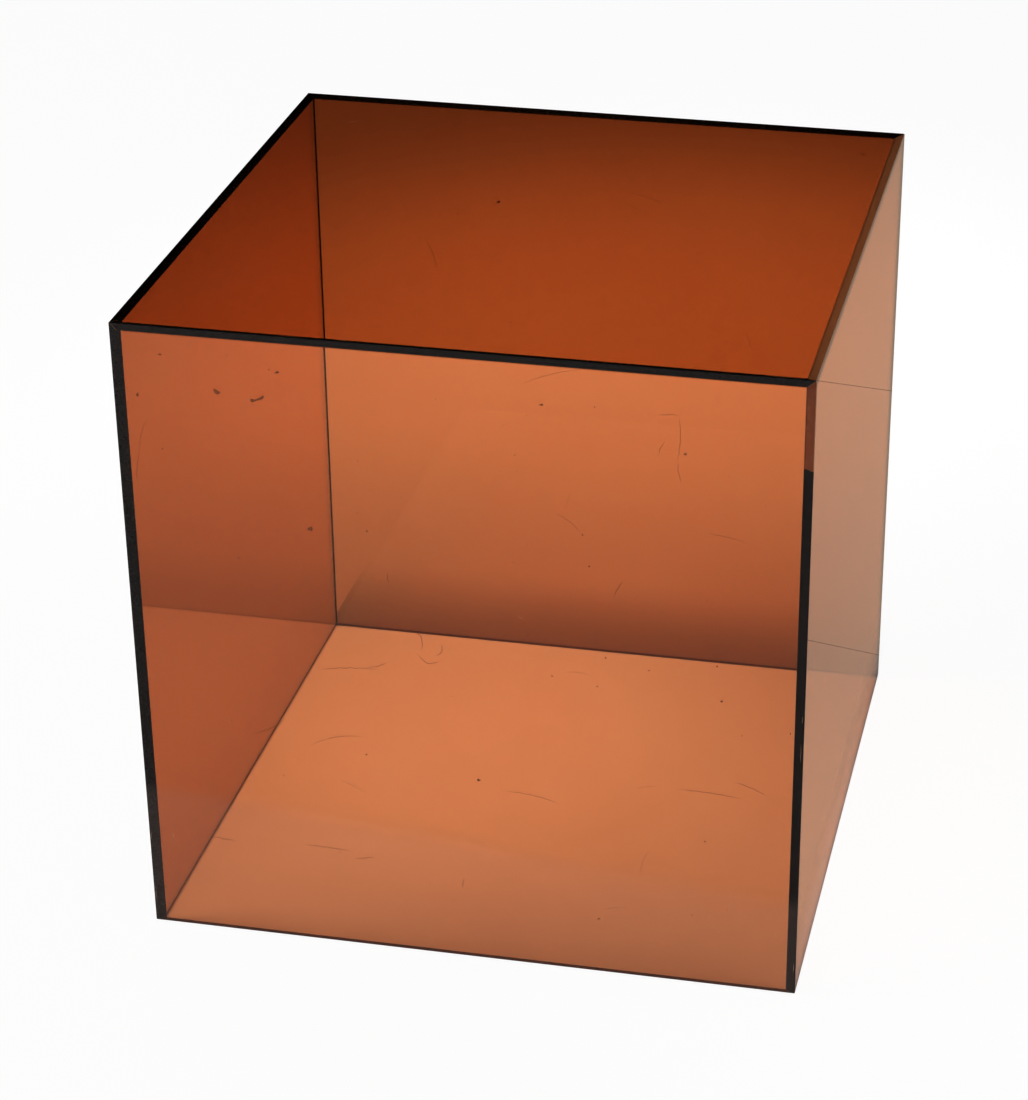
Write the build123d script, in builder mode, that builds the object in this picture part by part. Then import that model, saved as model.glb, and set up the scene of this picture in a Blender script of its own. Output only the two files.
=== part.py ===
from build123d import *
import math
import os

# A five-sided acrylic display cube, open at the bottom: a top and four walls of tinted
# sheet, mitred at 45 degrees along all eight edges where they meet, and cemented there.
# Millimetres, +Z up. The origin is at the middle of the open bottom, on the surface that
# the cube stands on, and the front faces -Y.

# Overall sizes, outside
width = 400.0  # left to right
depth = 400.0  # front to back
height = 400.0  # rim to top

# Sheet and joints
sheet = 5.0  # thickness of every panel
bond = 0.2  # thickness of the cement film in a mitre
bead = 0.8  # leg of the cement bead in the inner corners
arris = 0.4  # leg of the small flat rubbed on every outer corner
rim_chamfer = 0.3  # leg of the flats on both edges of the bottom rim

# How far a mitre face stands back from the plane that bisects its corner, measured
# along the panel: the film fills both setbacks.
setback = bond / math.sqrt(2)

# Two points make a mitre, each given as its distance from the outer corner along the
# panel, then its depth below the panel's own outer face.
mitre_outer = ((arris + setback) / 2, (arris - setback) / 2)
mitre_inner = (sheet + setback, sheet)

up = Vector(0, 0, 1)
down = Vector(0, 0, -1)

# The walls in turn about Z, each with its length, the distance of its outer face from
# the middle, and the name of the corner at its left end, seen from outside.
walls = [
    ("front", 0, width, depth / 2, "front_left"),
    ("right", 90, depth, width / 2, "front_right"),
    ("back", 180, width, depth / 2, "back_right"),
    ("left", 270, depth, width / 2, "back_left"),
]


def mitred_outline(length, reach):
    # A panel cut across: its outer face lies at -reach, and both ends are mitred.
    right = [
        (length / 2 - mitre_inner[0], -reach + mitre_inner[1]),
        (length / 2 - mitre_outer[0], -reach + mitre_outer[1]),
        (length / 2 - arris, -reach),
    ]
    return right + [(-x, y) for x, y in reversed(right)]


def upright_outline(reach):
    # A wall cut from rim to top: a flat-bottomed rim, and a mitre under the top panel.
    return [
        (-reach + rim_chamfer, 0),
        (-reach, rim_chamfer),
        (-reach, height - arris),
        (-reach + mitre_outer[1], height - mitre_outer[0]),
        (-reach + mitre_inner[1], height - mitre_inner[0]),
        (-reach + sheet, rim_chamfer),
        (-reach + sheet - rim_chamfer, 0),
    ]


def make_seam(name, start, first, second, length, ends):
    # Cement between two panels, whose inward directions are first and second. It runs
    # from start for length, and each end that meets two other seams in a corner keeps
    # only what lies deeper below the third panel than below its own two.
    half_section = [mitre_outer, mitre_inner, (sheet + bead, sheet)]
    with BuildPart() as seam:
        with BuildSketch(Plane(origin=start, x_dir=first, z_dir=first.cross(second))):
            with BuildLine():
                Polyline(*half_section, *[(b, a) for a, b in reversed(half_section)], close=True)
            make_face()
        extrude(amount=length)
        for meeting, third in ends:
            for own in (first, second):
                split(bisect_by=Plane(origin=meeting, z_dir=third - own), keep=Keep.TOP)
    seam.part.label = name
    export_step(seam.part, f"parts/{name}.step")


os.makedirs("parts", exist_ok=True)

# Top panel: one mitred outline across the width, trimmed by one across the depth.
with BuildPart() as top_panel:
    with BuildSketch(Plane(origin=(0, 0, 0), x_dir=(1, 0, 0), z_dir=(0, 1, 0))):
        with BuildLine():
            Polyline(*mitred_outline(width, height), close=True)
        make_face()
    extrude(amount=depth / 2, both=True)
    with BuildSketch(Plane(origin=(0, 0, 0), x_dir=(0, 1, 0), z_dir=(-1, 0, 0))):
        with BuildLine():
            Polyline(*mitred_outline(depth, height), close=True)
        make_face()
    extrude(amount=width / 2, both=True, mode=Mode.INTERSECT)
top_panel.part.label = "top_panel"
export_step(top_panel.part, "parts/top_panel.step")

for side, turn, length, reach, corner in walls:
    across = Plane.XY.rotated((0, 0, turn))  # x runs along the wall, y points inward
    along = across.x_dir
    inward = across.y_dir

    # Wall: mitred at both ends in plan, then trimmed to the rim and the top mitre.
    with BuildPart() as wall:
        with BuildSketch(across):
            with BuildLine():
                Polyline(*mitred_outline(length, reach), close=True)
            make_face()
        extrude(amount=height)
        with BuildSketch(Plane(origin=(0, 0, 0), x_dir=inward, z_dir=along)):
            with BuildLine():
                Polyline(*upright_outline(reach), close=True)
            make_face()
        extrude(amount=length / 2, both=True, mode=Mode.INTERSECT)
    wall.part.label = f"{side}_panel"
    export_step(wall.part, f"parts/{side}_panel.step")

    # Cement down the wall's left-hand corner, and along the top of the wall.
    left_foot = across.from_local_coords(Vector(-length / 2, -reach, 0))
    left_top = left_foot + up * height
    right_top = left_top + along * length
    make_seam(
        f"{corner}_seam",
        start=left_foot + up * rim_chamfer,
        first=along,
        second=inward,
        length=height - rim_chamfer,
        ends=[(left_top, down)],
    )
    make_seam(
        f"top_{side}_seam",
        start=right_top,
        first=inward,
        second=down,
        length=length,
        ends=[(right_top, along * -1), (left_top, along)],
    )
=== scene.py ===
import bpy
import math
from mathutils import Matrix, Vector


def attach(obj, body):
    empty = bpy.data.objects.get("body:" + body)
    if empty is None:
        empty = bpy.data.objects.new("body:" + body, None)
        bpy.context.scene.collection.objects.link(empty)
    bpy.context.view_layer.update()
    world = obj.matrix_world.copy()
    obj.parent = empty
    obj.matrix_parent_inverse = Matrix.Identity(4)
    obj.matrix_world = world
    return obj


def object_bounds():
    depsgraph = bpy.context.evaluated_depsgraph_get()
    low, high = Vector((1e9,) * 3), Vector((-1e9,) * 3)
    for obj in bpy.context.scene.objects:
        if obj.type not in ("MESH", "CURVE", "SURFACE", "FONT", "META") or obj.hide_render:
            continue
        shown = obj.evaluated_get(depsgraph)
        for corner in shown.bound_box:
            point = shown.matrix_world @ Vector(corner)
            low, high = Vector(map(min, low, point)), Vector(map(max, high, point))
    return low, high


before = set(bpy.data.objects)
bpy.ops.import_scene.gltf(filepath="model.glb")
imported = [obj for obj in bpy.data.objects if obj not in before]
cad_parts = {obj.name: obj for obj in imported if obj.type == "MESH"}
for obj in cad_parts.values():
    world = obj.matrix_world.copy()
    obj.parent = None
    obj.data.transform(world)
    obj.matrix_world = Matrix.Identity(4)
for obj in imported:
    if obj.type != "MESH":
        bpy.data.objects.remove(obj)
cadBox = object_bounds()
halfWidth, halfDepth, height = Vector(cadBox[1])
mm = 0.001  # the scene is in metres
print("frame loaded:", len(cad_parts), "nodes")


class Wire:
    # One output of a node, which takes part in sums: each sum adds a Math node
    def __init__(self, tree, socket):
        self.tree = tree
        self.socket = socket

    def sum(self, operation, left, right=None):
        values = {0: left} if right is None else {0: left, 1: right}
        return self.tree.add("ShaderNodeMath", {"operation": operation}, values)

    def __add__(self, other):
        return self.sum("ADD", self, other)

    def __radd__(self, other):
        return self.sum("ADD", other, self)

    def __sub__(self, other):
        return self.sum("SUBTRACT", self, other)

    def __rsub__(self, other):
        return self.sum("SUBTRACT", other, self)

    def __mul__(self, other):
        return self.sum("MULTIPLY", self, other)

    def __rmul__(self, other):
        return self.sum("MULTIPLY", other, self)

    def __truediv__(self, other):
        return self.sum("DIVIDE", self, other)

    def __rtruediv__(self, other):
        return self.sum("DIVIDE", other, self)

    def __pow__(self, other):
        return self.sum("POWER", self, other)

    def __rpow__(self, other):
        return self.sum("POWER", other, self)

    def __gt__(self, other):
        return self.sum("GREATER_THAN", self, other)

    def __lt__(self, other):
        return self.sum("LESS_THAN", self, other)

    def __abs__(self):
        return self.sum("ABSOLUTE", self)

    def least(self, other):
        return self.sum("MINIMUM", self, other)

    def most(self, other):
        return self.sum("MAXIMUM", self, other)


class NodeTree:
    # The nodes of a material, the world or a modifier
    def __init__(self, nodes):
        self.nodes = nodes

    def add(self, kind, settings=None, sockets=None, output=0):
        # Any node: its settings first, then the values or wires of its sockets
        node = self.nodes.nodes.new(kind)
        for name, value in (settings or {}).items():
            setattr(node, name, value)
        for name, value in (sockets or {}).items():
            if isinstance(value, Wire):
                self.nodes.links.new(value.socket, node.inputs[name])
            else:
                node.inputs[name].default_value = value
        return Wire(self, node.outputs[output]) if node.outputs else node

    def also(self, wire, output):
        # Another output of the node that a wire comes from
        return Wire(self, wire.socket.node.outputs[output])

    def fade(self, value, start, end):
        # 0 before start and 1 after end, with a soft step between
        return self.add("ShaderNodeMapRange", {"interpolation_type": "SMOOTHSTEP"},
                        {"Value": value, "From Min": start, "From Max": end})

    def noise(self, place, scale, detail=3.0):
        # Soft noise about 0.5
        return self.add("ShaderNodeTexNoise", {}, {
            "Vector": place, "Scale": scale, "Detail": detail})

    def drawnOut(self, place, stretch, turn=(0, 0, 0)):
        # A place for noise that is drawn out along the axes whose stretch is small
        return self.add("ShaderNodeMapping", {}, {
            "Vector": place, "Rotation": turn, "Scale": stretch})

    def mixColor(self, share, first, second):
        return self.add("ShaderNodeMix", {"data_type": "RGBA"},
                        {0: share, 6: first, 7: second}, output=2)

    def mixShader(self, share, first, second):
        return self.add("ShaderNodeMixShader", {}, {0: share, 1: first, 2: second})

    def bump(self, height, strength, distance):
        return self.add("ShaderNodeBump", {}, {
            "Height": height, "Strength": strength, "Distance": distance})


def newMaterial(name):
    material = bpy.data.materials.new(name)
    material.use_nodes = True
    material.node_tree.nodes.clear()
    return material, NodeTree(material.node_tree)


def showSurface(tree, surface):
    tree.add("ShaderNodeOutputMaterial", {}, {"Surface": surface})


acrylic = {
    "sheet": 5.0 * mm,
    "passed": (0.90, 0.535, 0.32),  # light left after a straight pass through one sheet
    # Ways through, as shares of the sheet's thickness, which set how deep the tint is
    "driftPath": 1.06,  # straight, in places where the tint runs a little deeper
    "slantPath": 1.9,  # at the flattest slant
    "palePath": 1.5,  # at the flattest slant in the right-hand sheet: painted light, a paler tint that lightens that face at a slant in place of what it mirrors
    "topPath": 1.65,  # in the top sheet, which runs deep at every slant
    "lampPath": 0.14,  # for what each face takes from a lamp's light
    "slantShade": 0.88,  # what is left of the light after scatter on a long way
    "ior": 1.49,
    "headOn": 0.04,  # share of a lamp's light that a face mirrors when it falls straight
    "roughness": 0.008,
    "smudged": 0.05,  # roughness that smears and wiping add
    "streakGrain": 26,
    "streakStretch": (0.25, 0.25, 1.6),
    "streakTurn": (0.2, 0.5, 0.3),
    "smearGrain": 9,
    "waviness": 0.02 * mm,
    "waveGrain": 14,
    "skin": 0.5 * mm,  # how deep below a face its film and its painted reflected lines still count
    "film": (0.62, 0.47, 0.42, 1),  # dried dust and polish, as a thin veil; on the front it is also a painted reflection of the floor in front
    "filmShare": 0.004,  # how much of a face the film hides everywhere
    "frontShare": 0.02,  # what the front has besides: painted reflection of the floor in front
    "streakShare": 0.02,  # what wiping streaks add
    "hazeShare": 0.08,  # what the haze at the foot of the front adds: painted reflection of the floor in front, with some dust
    "hazeTop": (70 * mm, -0.085),  # its upper edge: height in the middle, slope across
    "hazeEdge": 14 * mm,  # over which it fades out upward
    "hazeWander": 8 * mm,  # how far the streaks shift that edge
    "rim": 0.25 * mm,  # height of the cut rim that the cube stands on
    # The rim's dark tones: the sawn edge and painted contact shade where the sheets stand on the floor;
    # the painted reflected lines on the right-hand face take them too
    "sawnAndShaded": (0.10, 0.035, 0.018, 1),
    "sawnAndShadedPale": (0.19, 0.08, 0.045, 1),
    "toothGrain": 700,
    "toothDepth": 0.05 * mm,
    "reflectedLines": ((309.3 * mm, -0.454), (128.3 * mm, -0.565)),  # painted reflection of dark lines on the floor, drawn across the right-hand face: height, slope
    "reflectedLineWidth": 0.3 * mm,  # to each side
    "reflectedLineShare": 0.3,
}
cement = {
    "dark": (0.010, 0.0075, 0.006, 1),
    "worn": (0.028, 0.02, 0.016, 1),
    "brown": (0.62, 0.28, 0.14, 1),
    "brownWorn": (0.74, 0.38, 0.22, 1),
    "pale": (0.80, 0.64, 0.50, 1),  # the top right joint, which is seen through deeper tint
    "setback": 0.1414 * mm,  # from the bisecting plane to the mitre face of a panel
    "reach": 0.1 * mm,  # how far beyond that face a panel is still taken to be glued
    "brownEnd": 0.864,  # share of the height above which the front right cement is brown
    "patchGrain": 140,
    "lumpGrain": 420,
    "lumpDepth": 0.08 * mm,
}


def placeAndDepth(tree):
    # The place on the object, and the depths below the sides, the front or back, and the top
    place = tree.add("ShaderNodeTexCoord", output=3)
    x = tree.add("ShaderNodeSeparateXYZ", {}, {0: place})
    y, z = tree.also(x, 1), tree.also(x, 2)
    return place, (x, y, z), (halfWidth - abs(x), halfDepth - abs(y), height - z)


def cementColor(tree, place, xyz, depths):
    # Black, but brown along the whole top right joint and high up in the front right one
    x, y, z = xyz
    across, along, down = depths
    topRight = along > across.most(down)
    frontRight = (down > across.most(along)) * (y < 0) * (z > cement["brownEnd"] * height)
    brown = (x > 0) * topRight.most(frontRight)
    thin = tree.fade(tree.noise(place, cement["patchGrain"], 4), 0.5, 0.75)
    dark = tree.mixColor(thin, cement["dark"], cement["worn"])
    light = tree.mixColor(thin, cement["brown"], cement["brownWorn"])
    return tree.mixColor(brown, dark, tree.mixColor(topRight, light, cement["pale"]))


def tint(path, shade=1.0):
    # The colour of light after a way through the sheet, as a share of its thickness
    return (*[shade * share ** path for share in acrylic["passed"]], 1)


def makeAcrylic():
    material, tree = newMaterial("tintedAcrylic")
    place, xyz, depths = placeAndDepth(tree)
    across, along, down = depths
    x, y, z = xyz
    least = across.least(along).least(down)
    middle = across.least(along).most(across.most(along).least(down))
    mitre = (middle - least) < cement["setback"] + cement["reach"]
    rim = z < acrylic["rim"]

    # Wiping leaves long slanting streaks, and hands leave smears
    slanting = tree.drawnOut(place, acrylic["streakStretch"], acrylic["streakTurn"])
    streaks = tree.noise(slanting, acrylic["streakGrain"], 5)
    smears = tree.noise(place, acrylic["smearGrain"], 6)
    wiped = tree.fade(streaks, 0.5, 0.78)
    touched = tree.fade(smears, 0.52, 0.75)
    facing = tree.add("ShaderNodeLayerWeight", {}, {"Blend": 0.5}, output=1)
    straightTint = tree.mixColor(tree.fade(smears, 0.3, 0.7), tint(1), tint(acrylic["driftPath"]))
    slantTint = tint(acrylic["slantPath"], acrylic["slantShade"])
    # Painted light: the right-hand sheet takes a paler tint at a slant, which lightens that face in place
    # of what it mirrors
    onRight = (across < acrylic["sheet"]) * (x > 0)
    slantTint = tree.mixColor(onRight, slantTint, tint(acrylic["palePath"]))
    sideTint = tree.mixColor(tree.fade(facing, 0, 0.9), straightTint, slantTint)
    topTint = tint(acrylic["topPath"], acrylic["slantShade"])
    sheetNode = tree.add("ShaderNodeBsdfPrincipled", {}, {
        "Base Color": tree.mixColor(down < acrylic["sheet"], sideTint, topTint),
        "Transmission Weight": 1.0, "IOR": acrylic["ior"],
        "Roughness": acrylic["roughness"] + acrylic["smudged"] * wiped * touched,
        "Normal": tree.bump(tree.noise(place, acrylic["waveGrain"], 2), 0.3, acrylic["waviness"])})

    # Lamps shine straight through, tinted once at each face, less what a face mirrors
    mirrored = acrylic["headOn"] + (1 - acrylic["headOn"]) * facing ** 5
    toLamp = tree.add("ShaderNodeLightPath", output=1)
    clear = tree.add("ShaderNodeBsdfTransparent", {}, {"Color": tint(acrylic["lampPath"])})
    surface = tree.mixShader(toLamp * (1 - mirrored), sheetNode, clear)

    # The film of dust, and on the front a painted reflection of the floor in front, thicker in a haze at
    # its foot
    onFront = (along < acrylic["skin"]) * (y < 0)
    hazeTop, hazeSlope = acrylic["hazeTop"]
    aboveHaze = tree.fade(z - x * hazeSlope - acrylic["hazeWander"] * streaks,
                          hazeTop, hazeTop + acrylic["hazeEdge"])
    haze = onFront * (1 - aboveHaze)
    veil = (acrylic["filmShare"] + acrylic["frontShare"] * onFront) * (0.6 + 0.8 * smears)
    veil = veil + acrylic["streakShare"] * wiped * touched
    share = veil + acrylic["hazeShare"] * haze * (0.75 + 0.5 * streaks)
    film = tree.add("ShaderNodeBsdfPrincipled", {}, {
        "Base Color": acrylic["film"], "Roughness": 0.9, "Specular IOR Level": 0.0})
    surface = tree.mixShader(share, surface, film)

    # Saw marks on the rim, whose dark tone is both the sawn edge and painted contact shade where the
    # sheets stand on the floor, and the cement that shows through the sheet on its mitres
    teeth = tree.noise(tree.drawnOut(place, (1, 1, 0.2)), acrylic["toothGrain"], 2)
    sawnAndShaded = tree.add("ShaderNodeBsdfPrincipled", {}, {
        "Base Color": tree.mixColor(tree.fade(teeth, 0.4, 0.7), acrylic["sawnAndShaded"], acrylic["sawnAndShadedPale"]),
        "Roughness": 0.6, "Specular IOR Level": 0.1,
        "Normal": tree.bump(teeth, 0.4, acrylic["toothDepth"])})
    glued = tree.add("ShaderNodeBsdfPrincipled", {}, {
        "Base Color": cementColor(tree, place, xyz, depths),
        "Roughness": 0.6, "Specular IOR Level": 0.0})

    # The painted reflection of dark lines on the floor across the right-hand face, and then all the
    # finishes together
    reflectedLines = 0
    for middleHeight, slope in acrylic["reflectedLines"]:
        reflectedLines = reflectedLines + (abs(z - y * slope - middleHeight) < acrylic["reflectedLineWidth"])
    reflectedLines = reflectedLines * (across < acrylic["skin"]) * (x > 0) * acrylic["reflectedLineShare"]
    surface = tree.mixShader(rim.most(reflectedLines), surface, sawnAndShaded)
    showSurface(tree, tree.mixShader(mitre, surface, glued))
    return material


def makeCement():
    material, tree = newMaterial("blackCement")
    place, xyz, depths = placeAndDepth(tree)
    lumps = tree.noise(place, cement["lumpGrain"], 3)
    showSurface(tree, tree.add("ShaderNodeBsdfPrincipled", {}, {
        "Base Color": cementColor(tree, place, xyz, depths),
        "Roughness": 0.22 + 0.3 * tree.fade(lumps, 0.35, 0.7),
        "Normal": tree.bump(lumps, 0.35, cement["lumpDepth"])}))
    return material


# Dirt and rubbed plastic: two tones, and cover, about the share that is hidden of what is behind
dullFinishes = {
    "dust": {"color": (0.09, 0.045, 0.03, 1), "paler": (0.2, 0.12, 0.09, 1),
             "roughness": 0.7, "grain": 900, "cover": 0.9},
    "scratchEdge": {"color": (0.16, 0.07, 0.04, 1), "paler": (0.3, 0.17, 0.12, 1),
                    "roughness": 0.5, "grain": 500, "cover": 0.9},
    "grime": {"color": (0.2, 0.07, 0.035, 1), "paler": (0.34, 0.14, 0.07, 1),
              "roughness": 0.7, "grain": 300, "cover": 0.42},
    "rubbedPlastic": {"color": (0.5, 0.43, 0.37, 1), "paler": (0.72, 0.66, 0.6, 1),
                      "roughness": 0.6, "grain": 600, "cover": 0.9},
}


def makeDull(name):
    finish = dullFinishes[name]
    material, tree = newMaterial(name)
    place = tree.add("ShaderNodeTexCoord", output=3)
    speckle = tree.noise(place, finish["grain"], 3)
    showSurface(tree, tree.add("ShaderNodeBsdfPrincipled", {}, {
        "Base Color": tree.mixColor(tree.fade(speckle, 0.3, 0.7), finish["color"], finish["paler"]),
        "Roughness": finish["roughness"] + 0.2 * speckle,
        "Specular IOR Level": 0.15,
        "Alpha": finish["cover"] + 0.4 * (speckle - 0.5),
        "Normal": tree.bump(speckle, 0.3, 0.03 * mm)}))
    return material


acrylicFinish = makeAcrylic()
cementFinish = makeCement()
for name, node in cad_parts.items():
    node.data.materials.clear()
    node.data.materials.append(acrylicFinish if name.endswith("_panel") else cementFinish)
print("finishes given to the panels and the cement")


# Each outer face: the foot of its middle line, or the middle of the top, then the ways across,
# up and inward
faces = {
    "front": (Vector((0, -halfDepth, 0)), Vector((1, 0, 0)), Vector((0, 0, 1)), Vector((0, 1, 0))),
    "right": (Vector((halfWidth, 0, 0)), Vector((0, 1, 0)), Vector((0, 0, 1)), Vector((-1, 0, 0))),
    "back": (Vector((0, halfDepth, 0)), Vector((-1, 0, 0)), Vector((0, 0, 1)), Vector((0, -1, 0))),
    "left": (Vector((-halfWidth, 0, 0)), Vector((0, -1, 0)), Vector((0, 0, 1)), Vector((1, 0, 0))),
    "top": (Vector((0, 0, height)), Vector((1, 0, 0)), Vector((0, 1, 0)), Vector((0, 0, -1))),
}


def onFace(face, across, up, depth):
    # A point given in mm across and up a face, a little below its surface
    foot, acrossWay, upWay, inward = faces[face]
    return foot + acrossWay * across * mm + upWay * up * mm + inward * depth


def faceSheets(margin, depth):
    # Five plain sheets just below the outer faces, each facing out, to scatter marks on
    points = []
    for face in faces:
        lowEdge = -halfDepth / mm if face == "top" else 0
        topEdge = halfDepth / mm if face == "top" else height / mm
        side = halfDepth / mm if face in ("right", "left") else halfWidth / mm
        for across, up in ((-side + margin, lowEdge + margin), (side - margin, lowEdge + margin),
                           (side - margin, topEdge - margin), (-side + margin, topEdge - margin)):
            points.append(onFace(face, across, up, depth))
    mesh = bpy.data.meshes.new("faceSheets")
    mesh.from_pydata(points, [], [tuple(range(4 * i, 4 * i + 4)) for i in range(len(faces))])
    return mesh


def growPiece(name, seedMesh, sizes, build, material):
    # Runs a Geometry Nodes tree with named inputs on a mesh, and keeps the result as a plain mesh
    group = bpy.data.node_groups.new(name, "GeometryNodeTree")
    group.interface.new_socket("Geometry", in_out="INPUT", socket_type="NodeSocketGeometry")
    inputs = {}
    for label, value in sizes.items():
        kind = "NodeSocketInt" if isinstance(value, int) else "NodeSocketFloat"
        inputs[label] = group.interface.new_socket(label, in_out="INPUT", socket_type=kind)
    group.interface.new_socket("Geometry", in_out="OUTPUT", socket_type="NodeSocketGeometry")
    tree = NodeTree(group)
    geometry = tree.add("NodeGroupInput")
    given = {label: tree.also(geometry, label) for label in sizes}
    shape = build(tree, geometry, given)
    shape = tree.add("GeometryNodeRealizeInstances", {}, {0: shape})
    shape = tree.add("GeometryNodeSetMaterial", {}, {"Geometry": shape, "Material": material})
    tree.add("NodeGroupOutput", {}, {0: shape})
    piece = bpy.data.objects.new(name, seedMesh)
    bpy.context.scene.collection.objects.link(piece)
    modifier = piece.modifiers.new(name, "NODES")
    modifier.node_group = group
    for label, value in sizes.items():
        modifier[inputs[label].identifier] = value
    evaluated = piece.evaluated_get(bpy.context.evaluated_depsgraph_get())
    mesh = bpy.data.meshes.new_from_object(evaluated)
    piece.modifiers.remove(modifier)
    piece.data = mesh
    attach(piece, "root")
    print(name, "made:", len(mesh.polygons), "faces")


def randomShare(tree, seed):
    return tree.add("FunctionNodeRandomValue", {"data_type": "FLOAT"}, {"Seed": seed}, output=1)


def turnedBy(tree, rotation, angle):
    # A point's rotation, with a turn about its own normal added
    spin = tree.add("ShaderNodeCombineXYZ", {}, {"Z": angle})
    spin = tree.add("FunctionNodeEulerToRotation", {}, {0: spin})
    return tree.add("FunctionNodeRotateRotation", {"rotation_space": "LOCAL"},
                    {"Rotation": rotation, "Rotate By": spin})


specks = {
    "Density": 2600.0,  # to a square metre
    "Between": 0.12,  # share of that between the clusters
    "Within": 1.6,  # share that the clusters add
    "Grain": 11.0,  # of the clusters
    "Least": 0.07 * mm,
    "Most": 0.42 * mm,
    "Thickness": 0.05 * mm,
    "Seed": 11,
}


def buildSpecks(tree, geometry, given):
    # Dust in loose clusters: flattened grains, most of them tiny
    place = tree.add("GeometryNodeInputPosition")
    clusters = tree.fade(tree.noise(place, given["Grain"], 4), 0.42, 0.72)
    points = tree.add("GeometryNodeDistributePointsOnFaces", {"distribute_method": "RANDOM"}, {
        "Mesh": geometry, "Seed": given["Seed"],
        "Density": given["Density"] * (given["Between"] + given["Within"] * clusters)})
    size = given["Least"] + (given["Most"] - given["Least"]) * randomShare(tree, 3) ** 5
    shape = tree.add("ShaderNodeCombineXYZ", {}, {
        "X": size * (1 + randomShare(tree, 4)), "Y": size, "Z": given["Thickness"]})
    grain = tree.add("GeometryNodeMeshIcoSphere", {}, {"Radius": 1.0, "Subdivisions": 1})
    return tree.add("GeometryNodeInstanceOnPoints", {}, {
        "Points": points, "Instance": grain, "Scale": shape,
        "Rotation": turnedBy(tree, tree.also(points, "Rotation"), math.tau * randomShare(tree, 5))})


hairlines = {
    "Density": 190.0,  # to a square metre
    "Between": 0.15,  # share of that between the worn patches
    "Within": 1.4,  # share that the patches add
    "Grain": 7.0,  # of the patches
    "Shortest": 3.0 * mm,
    "Longest": 34.0 * mm,
    "Width": 0.055 * mm,
    "Span": 15.0 * mm,  # length at which the width is as given
    "Bend": 0.16,  # sideways pull of an arc as a share of its length
    "Lean": 0.35,  # turn from across, in radians
    "Spread": 1.1,  # over how many radians that turn varies
    "Crossing": 1.4,  # turn that the crossing ones have besides
    "Along": 0.8,  # share that doesn't cross
    "Seed": 23,
}


def taper(tree, curve, width):
    # Runs a thin three-sided rod along a curve, drawn out almost to a point at both ends
    along = tree.add("GeometryNodeSplineParameter")
    ring = tree.add("GeometryNodeCurvePrimitiveCircle", {}, {"Resolution": 3, "Radius": 1.0})
    return tree.add("GeometryNodeCurveToMesh", {}, {
        "Curve": curve, "Profile Curve": ring, "Fill Caps": True,
        "Scale": width * (1.02 - abs(2 * along - 1) ** 3)})


def buildHairlines(tree, geometry, given):
    # Fine scratches from wiping, which lean mostly one way, with a few across
    place = tree.add("GeometryNodeInputPosition")
    patches = tree.fade(tree.noise(place, given["Grain"], 3), 0.4, 0.66)
    points = tree.add("GeometryNodeDistributePointsOnFaces", {"distribute_method": "RANDOM"}, {
        "Mesh": geometry, "Seed": given["Seed"],
        "Density": given["Density"] * (given["Between"] + given["Within"] * patches)})
    length = given["Shortest"] + (given["Longest"] - given["Shortest"]) * randomShare(tree, 6) ** 4
    span = given["Span"]
    start = tree.add("ShaderNodeCombineXYZ", {}, {"X": -0.5 * span})
    middle = tree.add("ShaderNodeCombineXYZ", {}, {"Y": given["Bend"] * span})
    end = tree.add("ShaderNodeCombineXYZ", {}, {"X": 0.5 * span})
    arc = tree.add("GeometryNodeCurveQuadraticBezier", {}, {
        "Resolution": 7, "Start": start, "Middle": middle, "End": end})
    rod = taper(tree, arc, given["Width"])
    lean = given["Lean"] + given["Spread"] * (randomShare(tree, 8) - 0.5)
    lean = lean + given["Crossing"] * (randomShare(tree, 9) > given["Along"])
    return tree.add("GeometryNodeInstanceOnPoints", {}, {
        "Points": points, "Instance": rod, "Scale": length / span,
        "Rotation": turnedBy(tree, tree.also(points, "Rotation"), lean)})


# The sheets that both are scattered on stop 7 and 12 mm short of the edges, and lie deep
# enough that nothing stands out of a face
growPiece("dust_specks", faceSheets(7, 0.08 * mm), specks, buildSpecks, makeDull("dust"))
growPiece("fine_scratches", faceSheets(12, 0.16 * mm), hairlines, buildHairlines, makeDull("scratchEdge"))


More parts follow.
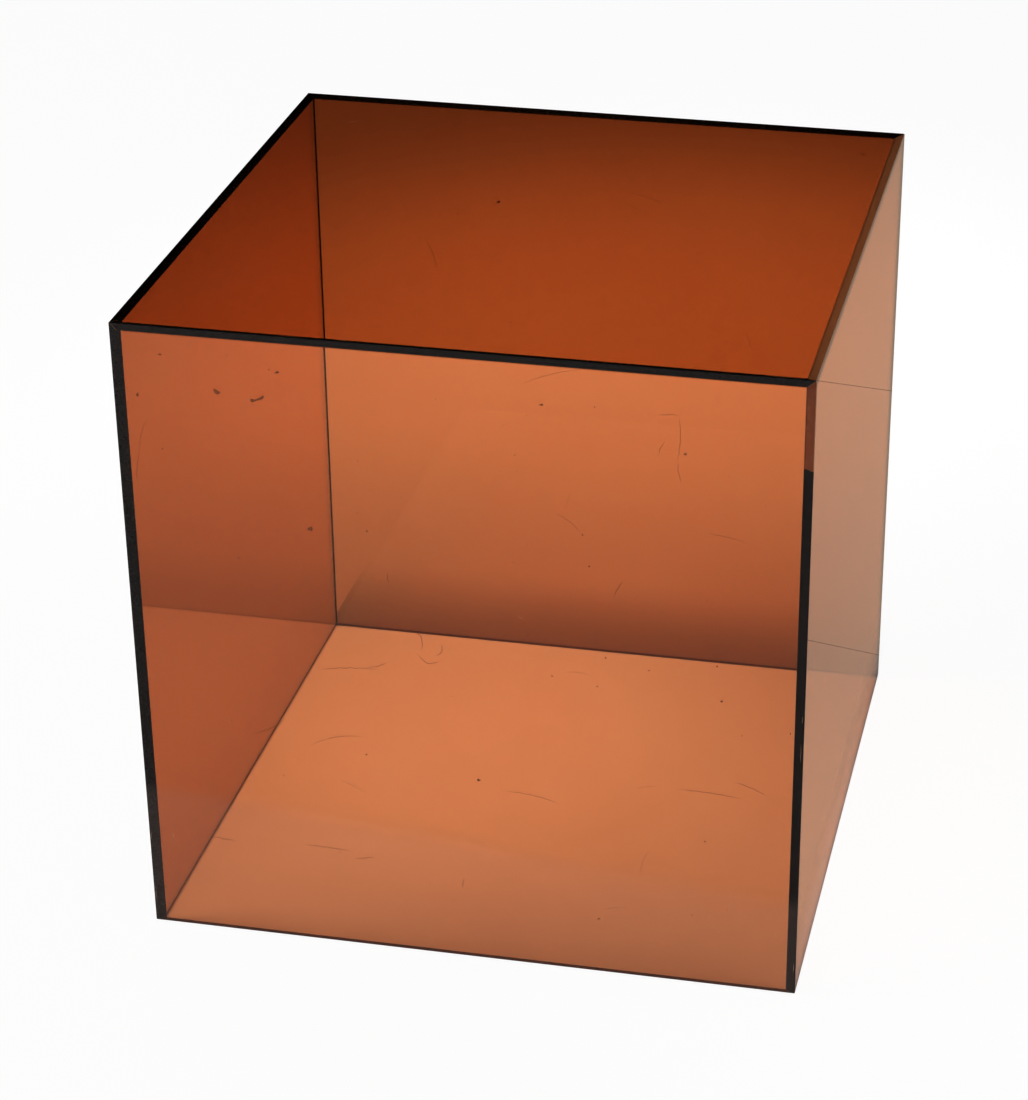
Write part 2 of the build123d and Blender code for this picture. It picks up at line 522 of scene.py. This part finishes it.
# Marks given one by one: a face, the middle in mm across and up it, length in mm, turn in
# degrees from across, and how far the middle bows sideways, in mm
darkMarks = {
    "width": 0.15 * mm,
    "depth": 0.19 * mm,
    "wobble": 0.35,
    "ripple": 0.9,  # how fast the wobble changes along a mark
    "step": 3,
    "lines": [
        ("front", -184, 333, 22, 72, 1.5), ("front", -188.5, 311, 25, 82, 1.2),
        ("front", 119, 372, 11, 4, 0.6), ("front", 124.5, 358, 28, 88, -1.4),
        ("front", 126, 338, 14, 100, 0.8), ("front", 116, 352, 9, 70, 1.0),
        ("front", -29, 216, 16, -62, 5.0), ("front", -20, 206, 14, -12, -4.5),
        ("front", -14, 211, 9, 70, -1.5), ("front", -68, 192, 37, 6, 1.2),
        ("front", -52, 197, 15, 20, -1.0), ("front", -153, 64.5, 15, -4, 0.4),
        ("front", -87, 66.5, 31, -2, 0.5), ("front", -64, 62, 12, 12, 0.4),
        ("front", 146, 133, 40, -3, 1.0), ("front", 170, 139.5, 20, -20, 0.8),
        ("front", -43, 255, 7, 90, 0.2), ("front", -3, 52, 7, 90, 0.2),
        ("front", 62, 301, 18, -35, 1.6), ("front", -120, 148, 26, 30, -2.0),
        ("front", 40, 118, 33, -8, 1.5), ("front", 92, 262, 13, 64, 0.9),
        ("top", 155, -154, 21, -73, 0.8), ("top", 187.5, -142, 10, 12, 0.4),
        ("top", 117, -118, 9, 55, 0.8), ("top", 54, 31, 49, -41, 2.4),
        ("top", 30, 10, 12, -35, 0.6), ("top", -60, 95, 28, -22, 1.6),
        ("top", -120, -30, 24, -30, 1.2), ("top", 96, 120, 17, -50, 0.7),
        ("right", -60, 176, 46, 14, 2.0), ("right", 40, 262, 26, 8, 0.8),
        ("right", 84, 120, 30, -22, 1.5), ("left", -40, 240, 60, 24, 4.0),
        ("left", 90, 128, 32, -12, 1.6), ("back", 30, 210, 58, -18, 3.0),
        ("back", -90, 98, 34, 9, 1.2), ("back", 118, 290, 24, 70, 1.4),
    ],
}
paleMarks = {
    "width": 0.15 * mm,
    "depth": 0.2 * mm,
    "wobble": 0.2,
    "ripple": 0.9,
    "step": 3,
    "lines": [
        ("front", -184.5, 62.5, 9, 96, 0.3), ("front", 35, 237, 5, -28, 0.2),
        ("front", 90, 46, 16, 12, 0.8), ("front", -70, 112, 19, -24, 1.0),
        ("top", -155, 150, 13, 40, 0.6), ("right", 130, 260, 22, 35, 1.2),
        ("left", 60, 330, 20, -50, 1.0), ("back", -30, 340, 26, 15, 1.4),
        ("front", -197.6, 397.6, 6.6, -45, 0.1), ("top", -197.6, -197.6, 6.6, 45, 0.1),
        ("front", 197.6, 397.6, 6.6, 45, 0.1), ("top", 197.6, -197.6, 6.6, -45, 0.1),
        ("top", -95, -198.9, 14, 0, 0.1), ("top", -63, -198.6, 9, 1, 0.1),
        ("top", 182, -198.8, 24, 0, 0.1), ("front", 198.8, 189, 5, 90, 0.1),
        ("front", 198.6, 167, 13, 90, 0.1), ("front", 198.8, 18, 7, 90, 0.1),
        ("front", -198.7, 19, 13, 90, 0.1), ("front", -198.8, 61, 6, 90, 0.1),
    ],
}


def markMesh(name, marks):
    # One open line for each mark, bowed and a little unsteady, just below its face
    points, edges = [], []
    for face, across, up, length, turn, bow in marks["lines"]:
        steps = max(6, round(length / marks["step"]))
        turned = math.radians(turn)
        for step in range(steps + 1):
            share = step / steps
            run = (share - 0.5) * length
            side = bow * (1 - (2 * share - 1) ** 2)
            side += marks["wobble"] * math.sin(run * marks["ripple"] + across) * math.sin(math.pi * share)
            points.append(onFace(face, across + run * math.cos(turned) - side * math.sin(turned),
                                 up + run * math.sin(turned) + side * math.cos(turned), marks["depth"]))
            if step:
                edges.append((len(points) - 2, len(points) - 1))
    mesh = bpy.data.meshes.new(name)
    mesh.from_pydata(points, edges, [])
    return mesh


def buildMarks(tree, geometry, given):
    curve = tree.add("GeometryNodeMeshToCurve", {}, {"Mesh": geometry})
    return taper(tree, curve, given["Width"])


grimeFinish = makeDull("grime")
rubbedFinish = makeDull("rubbedPlastic")
growPiece("drawn_scratches", markMesh("drawnScratches", darkMarks), {"Width": darkMarks["width"]},
          buildMarks, grimeFinish)
growPiece("pale_scratches", markMesh("paleScratches", paleMarks), {"Width": paleMarks["width"]},
          buildMarks, rubbedFinish)

# Spots of dried dirt: a face, the place in mm, and the length, width and turn of the spot
spots = {
    "thickness": 0.06 * mm,
    "depth": 0.1 * mm,
    "sides": 18,
    "uneven": (0.18, 0.12),  # how far the edge goes in and out, in three waves and in five
    "places": [
        ("front", -139, 363, 4.2, 2.6, -35), ("front", -88, 282, 3.2, 2.6, 30),
        ("front", -186, 357, 2.4, 1.4, 80), ("front", -103, 378, 3.0, 1.2, 20),
        ("front", -171, 383, 2.0, 1.0, 0), ("front", 8, 126, 2.0, 1.6, 0),
        ("front", -114, 361, 7.0, 1.6, 28), ("front", -118, 359.5, 3.0, 2.2, 0),
        ("front", 48, 372, 2.6, 1.0, 8), ("front", 152, 196, 1.6, 1.1, 40),
        ("front", -132, 259, 1.5, 1.2, 0), ("front", -158, 301, 1.2, 1.0, 0),
        ("top", 179, 156, 2.6, 2.0, 0), ("top", 60, 72, 2.4, 1.2, 30),
        ("top", -100, 130, 2.0, 1.4, 0), ("top", 22, -160, 1.6, 1.2, 60),
        ("right", -92, 322, 2.0, 1.4, 0), ("right", 60, 80, 1.8, 1.2, 30),
        ("left", 10, 300, 2.6, 1.8, 20), ("left", -120, 90, 2.0, 1.6, 0),
        ("back", 70, 330, 2.8, 1.6, -20), ("back", -60, 160, 2.2, 2.0, 0),
    ],
}


def buildSpots():
    # Each spot is a low mound with an uneven edge, sunk just below its face
    points, polygons = [], []
    around = spots["sides"]
    threeWaves, fiveWaves = spots["uneven"]
    for face, across, up, length, width, turn in spots["places"]:
        turned = math.radians(turn)
        first = len(points)
        for lift in (-1, 1):
            points.append(onFace(face, across, up, spots["depth"] + lift * spots["thickness"] / 2))
        for step in range(around):
            angle = math.tau * step / around
            uneven = 1 + threeWaves * math.sin(3 * angle + across) + fiveWaves * math.sin(5 * angle + up)
            run = uneven * length / 2 * math.cos(angle)
            side = uneven * width / 2 * math.sin(angle)
            points.append(onFace(face, across + run * math.cos(turned) - side * math.sin(turned),
                                 up + run * math.sin(turned) + side * math.cos(turned), spots["depth"]))
            here, there = first + 2 + step, first + 2 + (step + 1) % around
            polygons += [(first, here, there), (first + 1, there, here)]
    mesh = bpy.data.meshes.new("dried_spots")
    mesh.from_pydata(points, [], polygons)
    mesh.polygons.foreach_set("use_smooth", [True] * len(polygons))
    mesh.materials.append(grimeFinish)
    piece = bpy.data.objects.new("dried_spots", mesh)
    bpy.context.scene.collection.objects.link(piece)
    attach(piece, "root")
    print("dried_spots made:", len(polygons), "faces")


buildSpots()

studio = {
    "floorSize": 12.0,
    "floorColor": (0.8, 0.8, 0.8, 1),
    "floorDrop": 0.1 * mm,
    "floorGlow": 0.93,  # how far the floor, seen straight, is lifted to an even pale tone
    "floorTone": (1.02, 1.02, 1.02, 1),
    "mirroredTone": (0.61, 0.46, 0.36, 1),  # painted reflection: the warm tone that the floor to the right glows with for mirrored rays
    "mirroredEdge": 0.01,  # how softly that starts beside the face
    "shade": 0.42,  # painted shadow: how much darker the floor's paint is just behind the back
    "shadeReach": 0.11,
    "poolBlend": 1.0,  # how soft the edges of the pools are
    "poolRadius": 0.15,  # of the lamps that cast them
    "roomLight": 0.42,  # what the room sends to the floor and the marks from all round
    "roomSeen": 1.2,
    "contrast": 0.75,
}
# Soft square lamps: place, size, power and aim
softLamps = {
    "above": {"place": (0, 0, 2.0), "size": 1.0, "power": 2.0, "aim": (0, 0, 0.15)},
    "lowLeft": {"place": (-2.3, -0.4, 0.8), "size": 1.0, "power": 25.0, "aim": (0, 0, 0.15)},
    "lowFront": {"place": (-0.6, -2.4, 0.9), "size": 1.0, "power": 16.0, "aim": (0, 0, 0.15)},
}
# Round pools of light with soft edges: place, aim, angle in degrees and power
pools = {
    "behind": {"place": (-0.2, 0.8, 1.5), "aim": (-0.06, 0.8, 0), "angle": 44, "power": 62.0},
    "inside": {"place": (-0.05, -0.13, 1.8), "aim": (-0.06, 0.085, 0), "angle": 20, "power": 28.0},
    "left": {"place": (-0.6, 0.5, 1.3), "aim": (-0.48, 0.46, 0), "angle": 24, "power": 9.0},
    "right": {"place": (0.6, -0.3, 1.3), "aim": (0.32, -0.1, 0), "angle": 28, "power": 16.0},
}


def makeFloor():
    # A pale floor, lifted where it is seen straight, with a painted shadow just behind the cube,
    # and a painted reflection: it glows warm where an outer face mirrors what lies to the right
    reach = studio["floorSize"] / 2
    mesh = bpy.data.meshes.new("floor")
    corners = [(-reach, -reach), (reach, -reach), (reach, reach), (-reach, reach)]
    mesh.from_pydata([(a, b, -studio["floorDrop"]) for a, b in corners], [], [(0, 1, 2, 3)])
    floor = bpy.data.objects.new("floor", mesh)
    bpy.context.scene.collection.objects.link(floor)
    material, tree = newMaterial("floorPaint")
    place = tree.add("ShaderNodeTexCoord", output=3)
    x = tree.add("ShaderNodeSeparateXYZ", {}, {0: place})
    y = tree.also(x, 1)
    # Painted shadow: the paint is darker just behind the back, where the back wall's shade falls
    behind = (y > halfDepth) * (abs(x) < halfWidth)
    shade = behind * (1 - tree.fade(y, halfDepth, halfDepth + studio["shadeReach"])) * studio["shade"]
    paint = tree.add("ShaderNodeBsdfDiffuse", {}, {
        "Color": tree.mixColor(shade, studio["floorColor"], (0, 0, 0, 1))})
    glow = tree.add("ShaderNodeEmission", {}, {"Color": studio["floorTone"]})
    straight = tree.add("ShaderNodeLightPath", output=0)
    # Painted reflection: to the right the floor glows warm for rays that an outer face mirrors
    mirrored = tree.also(straight, "Is Glossy Ray") * (tree.also(straight, "Transmission Depth") < 0.5)
    toRight = tree.fade(x, halfWidth, halfWidth + studio["mirroredEdge"])
    warmPaintedReflection = tree.add("ShaderNodeEmission", {}, {"Color": studio["mirroredTone"]})
    paint = tree.mixShader(mirrored * toRight, paint, warmPaintedReflection)
    showSurface(tree, tree.mixShader(straight * studio["floorGlow"], paint, glow))
    mesh.materials.append(material)


def hangLamp(light, place, aim, power):
    light.energy = power
    lamp = bpy.data.objects.new(light.name, light)
    lamp.location = place
    lamp.rotation_euler = (Vector(aim) - Vector(place)).to_track_quat("-Z", "Y").to_euler()
    bpy.context.scene.collection.objects.link(lamp)


def makeLamps():
    for name, lamp in softLamps.items():
        light = bpy.data.lights.new(name, "AREA")
        light.shape = "SQUARE"
        light.size = lamp["size"]
        hangLamp(light, lamp["place"], lamp["aim"], lamp["power"])
    for name, pool in pools.items():
        light = bpy.data.lights.new(name, "SPOT")
        light.spot_size = math.radians(pool["angle"])
        light.spot_blend = studio["poolBlend"]
        light.shadow_soft_size = studio["poolRadius"]
        hangLamp(light, pool["place"], pool["aim"], pool["power"])


def makeRoom():
    # A pale room where it is seen, straight or through the sheets, but dark in reflections
    world = bpy.data.worlds.new("studio")
    bpy.context.scene.world = world
    world.use_nodes = True
    world.node_tree.nodes.clear()
    tree = NodeTree(world.node_tree)
    path = tree.add("ShaderNodeLightPath")
    bounced = tree.also(path, "Diffuse Depth") > 0.5
    glossy = tree.also(path, "Is Glossy Ray")
    strength = bounced * studio["roomLight"] + (1 - bounced) * (1 - glossy) * studio["roomSeen"]
    background = tree.add("ShaderNodeBackground", {}, {"Strength": strength})
    tree.add("ShaderNodeOutputWorld", {}, {"Surface": background})


makeFloor()
makeLamps()
makeRoom()
print("stage set")

view = {
    "place": (0.3985, -1.7513, 1.0924),
    "elevation": 28.99,
    "turn": 11.59,
    "lens": 103.5,
    "sensor": 36,
    "shift": (-0.0771, 0.1002),
}
lens = bpy.data.cameras.new("camera")
lens.lens = view["lens"]
lens.sensor_width = view["sensor"]
lens.shift_x, lens.shift_y = view["shift"]
camera = bpy.data.objects.new("camera", lens)
camera.location = view["place"]
camera.rotation_euler = (math.radians(90 - view["elevation"]), 0, math.radians(view["turn"]))
bpy.context.scene.collection.objects.link(camera)
bpy.context.scene.camera = camera
bpy.context.scene.view_settings.view_transform = "Standard"
bpy.context.scene.view_settings.gamma = studio["contrast"]
print("camera placed")
